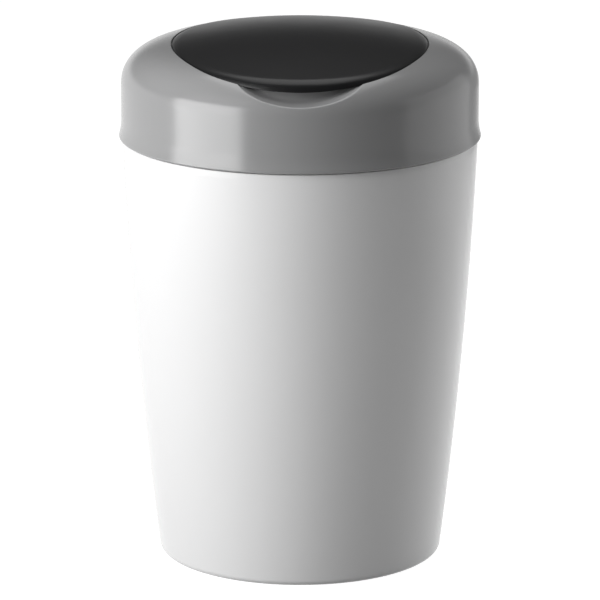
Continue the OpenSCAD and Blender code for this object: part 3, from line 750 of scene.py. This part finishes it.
def make_lid():
    def top(x, y, turn):
        return crown_z(x, y)

    def under(x, y, turn):
        return crown_z(x, y) - LID_WALL

    def foot(x, y, turn):
        return min(float(dome_z(math.hypot(x, y))) - LID_TUCK, crown_z(x, y) - LID_WALL - BAND_DROP)

    rings = [lid_ring(ROLL_W, share / 24, top) for share in range(1, 24)]
    steps = 20
    for k in range(steps + 1):
        inset = ROLL_W * math.cos(math.pi / 2 * k / steps)
        bend = max(0.0, 1 - (1 - inset / ROLL_W) ** ROLL_POWER) ** (1 / ROLL_POWER)
        rings.append(lid_ring(inset, 1.0, lid_rim(bend)))
    rings.append(lid_ring(0.15, 1.0, lambda x, y, turn: lid_edge(turn) - 0.15))
    rings.append(lid_ring(0.5, 1.0, lambda x, y, turn: lid_edge(turn) - 0.2))
    rings.append(lid_ring(BAND_W, 1.0, foot))
    rings.append(lid_ring(BAND_W + 0.8, 1.0, under))
    rings += [lid_ring(ROLL_W, share / 8, under) for share in range(8, 0, -1)]
    n = len(rings[0])
    points = [p for ring in rings for p in ring]
    faces = []
    for a in range(len(rings) - 1):
        for i in range(n):
            j = (i + 1) % n
            faces.append((a * n + i, a * n + j, (a + 1) * n + j, (a + 1) * n + i))
    points.append((0, -LID_FORWARD, RIM_Z + crown_z(0, LID_FORWARD)))
    points.append((0, -LID_FORWARD, RIM_Z + crown_z(0, LID_FORWARD) - LID_WALL))
    tip = len(points) - 2
    last = (len(rings) - 1) * n
    for i in range(n):
        j = (i + 1) % n
        faces.append((tip, j, i))
        faces.append((tip + 1, last + i, last + j))
    return mesh_object("lid_top", points, faces, "lid")


# Cutter spring


def make_spring():
    """The spring's own mesh as a piece that rides on the ring."""
    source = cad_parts["cutter_spring"]
    obj = bpy.data.objects.new("cutter_coil", source.data.copy())
    bpy.context.scene.collection.objects.link(obj)
    obj.matrix_world = source.matrix_world
    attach(obj, "ring")
    return obj


def squeeze_spring(obj):
    """Gives the coil a mesh of its own; its shape is left as it is."""
    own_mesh(obj)


# Materials: how far haze and tone wander, size of the noises, and depth of the bumps in metres

HAZE_SHARE = 0.12
TONE_SHARE = 0.02
HAZE_SCALE = 28
TONE_SCALE = 6
WAVE_SCALE = 14
WAVE_DEPTH = 0.0004
GRAIN_SCALE = 2600
GRAIN_DEPTH = 0.00005


def socket(shader, name, value):
    shader.inputs[name].default_value = value


def plastic(name, colour, roughness, wave=0.15, grain=0.0, specular=0.5):
    """Moulded plastic: a faint waviness, a fine grain, and roughness that wanders a little."""
    mat = bpy.data.materials.new(name)
    mat.use_nodes = True
    nodes = mat.node_tree.nodes
    links = mat.node_tree.links
    shader = nodes["Principled BSDF"]
    socket(shader, "Base Color", (*colour, 1))
    socket(shader, "Roughness", roughness)
    socket(shader, "IOR", 1.5)
    socket(shader, "Specular IOR Level", specular)
    place = nodes.new("ShaderNodeTexCoord")

    def noise(scale, detail):
        node = nodes.new("ShaderNodeTexNoise")
        node.inputs["Scale"].default_value = scale
        node.inputs["Detail"].default_value = detail
        links.new(place.outputs["Object"], node.inputs["Vector"])
        return node

    def spread(source, low, high):
        node = nodes.new("ShaderNodeMapRange")
        node.inputs["To Min"].default_value = low
        node.inputs["To Max"].default_value = high
        links.new(source.outputs["Fac"], node.inputs["Value"])
        return node

    haze = spread(noise(HAZE_SCALE, 5), roughness * (1 - HAZE_SHARE), roughness * (1 + HAZE_SHARE))
    links.new(haze.outputs["Result"], shader.inputs["Roughness"])
    tone = nodes.new("ShaderNodeMix")
    tone.data_type = "RGBA"
    tone.inputs["A"].default_value = (*[c * (1 - TONE_SHARE) for c in colour], 1)
    tone.inputs["B"].default_value = (*[min(1.0, c * (1 + TONE_SHARE)) for c in colour], 1)
    links.new(noise(TONE_SCALE, 2).outputs["Fac"], tone.inputs["Factor"])
    links.new(tone.outputs["Result"], shader.inputs["Base Color"])
    bump = nodes.new("ShaderNodeBump")
    bump.inputs["Strength"].default_value = wave
    bump.inputs["Distance"].default_value = WAVE_DEPTH
    links.new(noise(WAVE_SCALE, 1).outputs["Fac"], bump.inputs["Height"])
    fine = nodes.new("ShaderNodeBump")
    fine.inputs["Strength"].default_value = grain
    fine.inputs["Distance"].default_value = GRAIN_DEPTH
    links.new(noise(GRAIN_SCALE, 2).outputs["Fac"], fine.inputs["Height"])
    links.new(bump.outputs["Normal"], fine.inputs["Normal"])
    links.new(fine.outputs["Normal"], shader.inputs["Normal"])
    return mat


# Name, colour, roughness, waviness, grain and gloss
WHITE = plastic("white_gloss", (0.61, 0.61, 0.612), 0.23, 0.05, 0.02, 0.25)
GREY = plastic("grey_gloss", (0.22, 0.221, 0.222), 0.2, 0.05, 0.02, 0.6)
BLACK = plastic("black_gloss", (0.008, 0.008, 0.0085), 0.33, 0.05, 0.02, 0.35)
INNER_DARK = plastic("dark_satin", (0.03, 0.03, 0.032), 0.4, 0.05, 0.2)
INNER_PALE = plastic("pale_satin", (0.55, 0.56, 0.57), 0.35, 0.05, 0.15)
CASSETTE = plastic("blue_satin", (0.3, 0.42, 0.58), 0.35, 0.05, 0.15)
ORANGE = plastic("orange_gloss", (0.75, 0.17, 0.02), 0.24, 0.05, 0.05)
FILM = plastic("film", (0.7, 0.76, 0.82), 0.33, 0.4, 0.1)
RUBBER = plastic("rubber", (0.02, 0.02, 0.021), 0.6, 0.05, 0.4)
GRIP = plastic("grip_rubber", (0.06, 0.07, 0.08), 0.6, 0.05, 0.4)


def steel():
    """Ground steel: the same detail on a bare metal."""
    mat = plastic("steel", (0.62, 0.62, 0.63), 0.24, 0.02, 0.1)
    socket(mat.node_tree.nodes["Principled BSDF"], "Metallic", 1.0)
    return mat


STEEL = steel()


def dress_nodes():
    """Materials for the solids' own meshes."""
    finish = {
        "tub_seal": RUBBER, "carrier": INNER_PALE, "gripper": GRIP, "gripper_retainer": INNER_PALE,
        "retainer_screws": STEEL, "turntable": INNER_PALE, "cassette_tray": CASSETTE,
        "cassette_cover": CASSETTE, "film_pack": FILM, "twist_ring": INNER_PALE,
        "cutter_button": ORANGE, "cutter_blade": STEEL, "cutter_spring": STEEL,
        "ring_retainer": INNER_PALE, "ring_screws": STEEL, "hinge_pin": STEEL,
        "lid_liner": INNER_DARK, "lid_seal": RUBBER, "tub": WHITE, "collar": GREY, "lid_shell": BLACK,
    }
    for node, mat in finish.items():
        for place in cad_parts[node].material_slots:
            place.material = mat


# Stage, in metres: camera, floor, lights and world

CAMERA_AT = (0, -3.4, 1.06489)
CAMERA_AIM = (0, 0, 0.19207)
CAMERA_LENS = 279.65
SIDE_DISTANCE = 1.15
FLOOR_SIZE = 40.0
FLOOR_GREY = 0.35
FLOOR_GLOW = 0.94
RIGHT_DIM = 0.3


def look_at(obj, target):
    direction = Vector(target) - obj.location
    obj.rotation_euler = direction.to_track_quat("-Z", "Y").to_euler()


def make_camera():
    data = bpy.data.cameras.new("camera")
    data.sensor_width = 36
    data.lens = CAMERA_LENS
    data.clip_end = 60
    cam = bpy.data.objects.new("camera", data)
    bpy.context.scene.collection.objects.link(cam)
    cam.location = CAMERA_AT
    look_at(cam, CAMERA_AIM)
    bpy.context.scene.camera = cam


def soft_panel(name, place, target, width, tall, level, mirrored=True):
    """An even panel of light, where level 1 is white; gloss shows it only where it is mirrored."""
    data = bpy.data.lights.new(name, "AREA")
    data.shape = "RECTANGLE"
    data.size = width
    data.size_y = tall
    data.energy = math.pi * width * tall * level
    obj = bpy.data.objects.new(name, data)
    bpy.context.scene.collection.objects.link(obj)
    obj.location = place
    look_at(obj, target)
    obj.visible_camera = False
    obj.visible_glossy = mirrored


def side_panel(name, azimuth, low, high, width, level, mirrored=True):
    """An upright panel beside the object; azimuth is in degrees to the right of the front."""
    a = math.radians(azimuth)
    middle = (low + high) / 2
    place = (SIDE_DISTANCE * math.sin(a), -SIDE_DISTANCE * math.cos(a), middle)
    soft_panel(name, place, (0, 0, middle), width, high - low, level, mirrored)


def shader_nodes(tree):
    """Functions that add nodes to one node tree and link them."""
    def add(kind, **values):
        node = tree.nodes.new(kind)
        for name, value in values.items():
            setattr(node, name, value)
        return node

    def maths(operation, a, b):
        node = add("ShaderNodeMath", operation=operation)
        for i, value in enumerate((a, b)):
            if isinstance(value, (int, float)):
                node.inputs[i].default_value = value
            else:
                tree.links.new(value, node.inputs[i])
        return node.outputs["Value"]

    def rising(value, low, high, start=0.0, end=1.0):
        node = add("ShaderNodeMapRange", interpolation_type="SMOOTHSTEP")
        for name, number in zip(("From Min", "From Max", "To Min", "To Max"), (low, high, start, end)):
            node.inputs[name].default_value = number
        tree.links.new(value, node.inputs["Value"])
        return node.outputs["Result"]

    def parts_of(output):
        split = add("ShaderNodeSeparateXYZ")
        tree.links.new(add("ShaderNodeTexCoord").outputs[output], split.inputs["Vector"])
        return split.outputs

    return add, maths, rising, parts_of


def make_floor():
    """A floor that shines white for the camera, and for gloss beside and behind the object."""
    mesh = bpy.data.meshes.new("floor")
    corners = [(x * FLOOR_SIZE, y * FLOOR_SIZE, 0) for x, y in ((-1, -1), (1, -1), (1, 1), (-1, 1))]
    mesh.from_pydata(corners, [], [(0, 1, 2, 3)])
    obj = bpy.data.objects.new("floor", mesh)
    bpy.context.scene.collection.objects.link(obj)
    mat = bpy.data.materials.new("floor")
    mat.use_nodes = True
    tree = mat.node_tree
    tree.nodes.clear()
    add, maths, rising, parts_of = shader_nodes(tree)
    path = add("ShaderNodeLightPath").outputs
    matt = add("ShaderNodeBsdfDiffuse")
    matt.inputs["Color"].default_value = (FLOOR_GREY, FLOOR_GREY, FLOOR_GREY, 1)
    glow = add("ShaderNodeEmission")
    mirrored = maths("MAXIMUM", path["Is Glossy Ray"], path["Is Transmission Ray"])
    spot = parts_of("Object")
    mirrored = maths("MULTIPLY", mirrored, rising(spot["Y"], -1.0, -0.5))
    mirrored = maths("MULTIPLY", mirrored, rising(spot["X"], 0.3, 1.0, 1.0, RIGHT_DIM))
    seen = maths("MAXIMUM", path["Is Camera Ray"], mirrored)
    tree.links.new(maths("MULTIPLY", seen, FLOOR_GLOW), glow.inputs["Strength"])
    both = add("ShaderNodeAddShader")
    tree.links.new(matt.outputs["BSDF"], both.inputs[0])
    tree.links.new(glow.outputs["Emission"], both.inputs[1])
    tree.links.new(both.outputs["Shader"], add("ShaderNodeOutputMaterial").inputs["Surface"])
    paint(obj, mat)


def make_world(fill, sky):
    """White for the camera, and low behind the object for gloss; the rest is dim and rises overhead."""
    world = bpy.data.worlds.new("studio")
    bpy.context.scene.world = world
    world.use_nodes = True
    tree = world.node_tree
    add, maths, rising, parts_of = shader_nodes(tree)
    path = add("ShaderNodeLightPath").outputs
    towards = parts_of("Generated")
    mirrored = maths("MAXIMUM", path["Is Glossy Ray"], path["Is Transmission Ray"])
    mirrored = maths("MULTIPLY", mirrored, rising(towards["Z"], 0.05, 0.2, 1.0, 0.0))
    mirrored = maths("MULTIPLY", mirrored, rising(towards["Y"], -0.3, 0.3))
    mirrored = maths("MULTIPLY", mirrored, rising(towards["X"], 0.2, 0.6, 1.0, RIGHT_DIM))
    level = maths("MAXIMUM", path["Is Camera Ray"], mirrored)
    level = maths("MAXIMUM", level, rising(towards["Z"], 0.1, 1.0, fill, sky))
    tree.links.new(level, tree.nodes["Background"].inputs["Strength"])
    tree.nodes["Background"].inputs["Color"].default_value = (1, 1, 1, 1)


bpy.context.scene.view_settings.view_transform = "Standard"
make_camera()
make_floor()
make_world(0.04, 0.2)

# Name, azimuth, lowest and highest point, width and level
side_panel("key_left", -59, 0.02, 0.66, 1.0, 5.5)
side_panel("right", 101, 0.02, 0.8, 1.5, 0.55)
side_panel("high_key", -55, 0.66, 1.26, 0.8, 8.2, False)
side_panel("right_fill", 112, 0.0, 0.6, 1.2, 2.9, False)

# Name, place, target, width, length and level
soft_panel("overhead", (0, 0, 1.75), (0, 0, 0.4), 1.4, 1.6, 1.9)

dress_nodes()
finish_piece(make_tub(), WHITE, "tub")
finish_piece(make_base_ribs(), WHITE, "tub")
finish_piece(make_key_ribs(), WHITE, "tub")
finish_piece(make_collar(), GREY, "collar")
finish_piece(make_bosses(), GREY, "collar")
finish_piece(make_gussets(), GREY, "collar")
finish_piece(make_hinge_block(), GREY, "collar")
finish_piece(make_lid(), BLACK, "lid_shell")
finish_piece(make_lid_arms(), BLACK, "lid_shell")
cutter_coil = make_spring()
finish_piece(cutter_coil, STEEL, "cutter_spring")
squeeze_spring(cutter_coil)
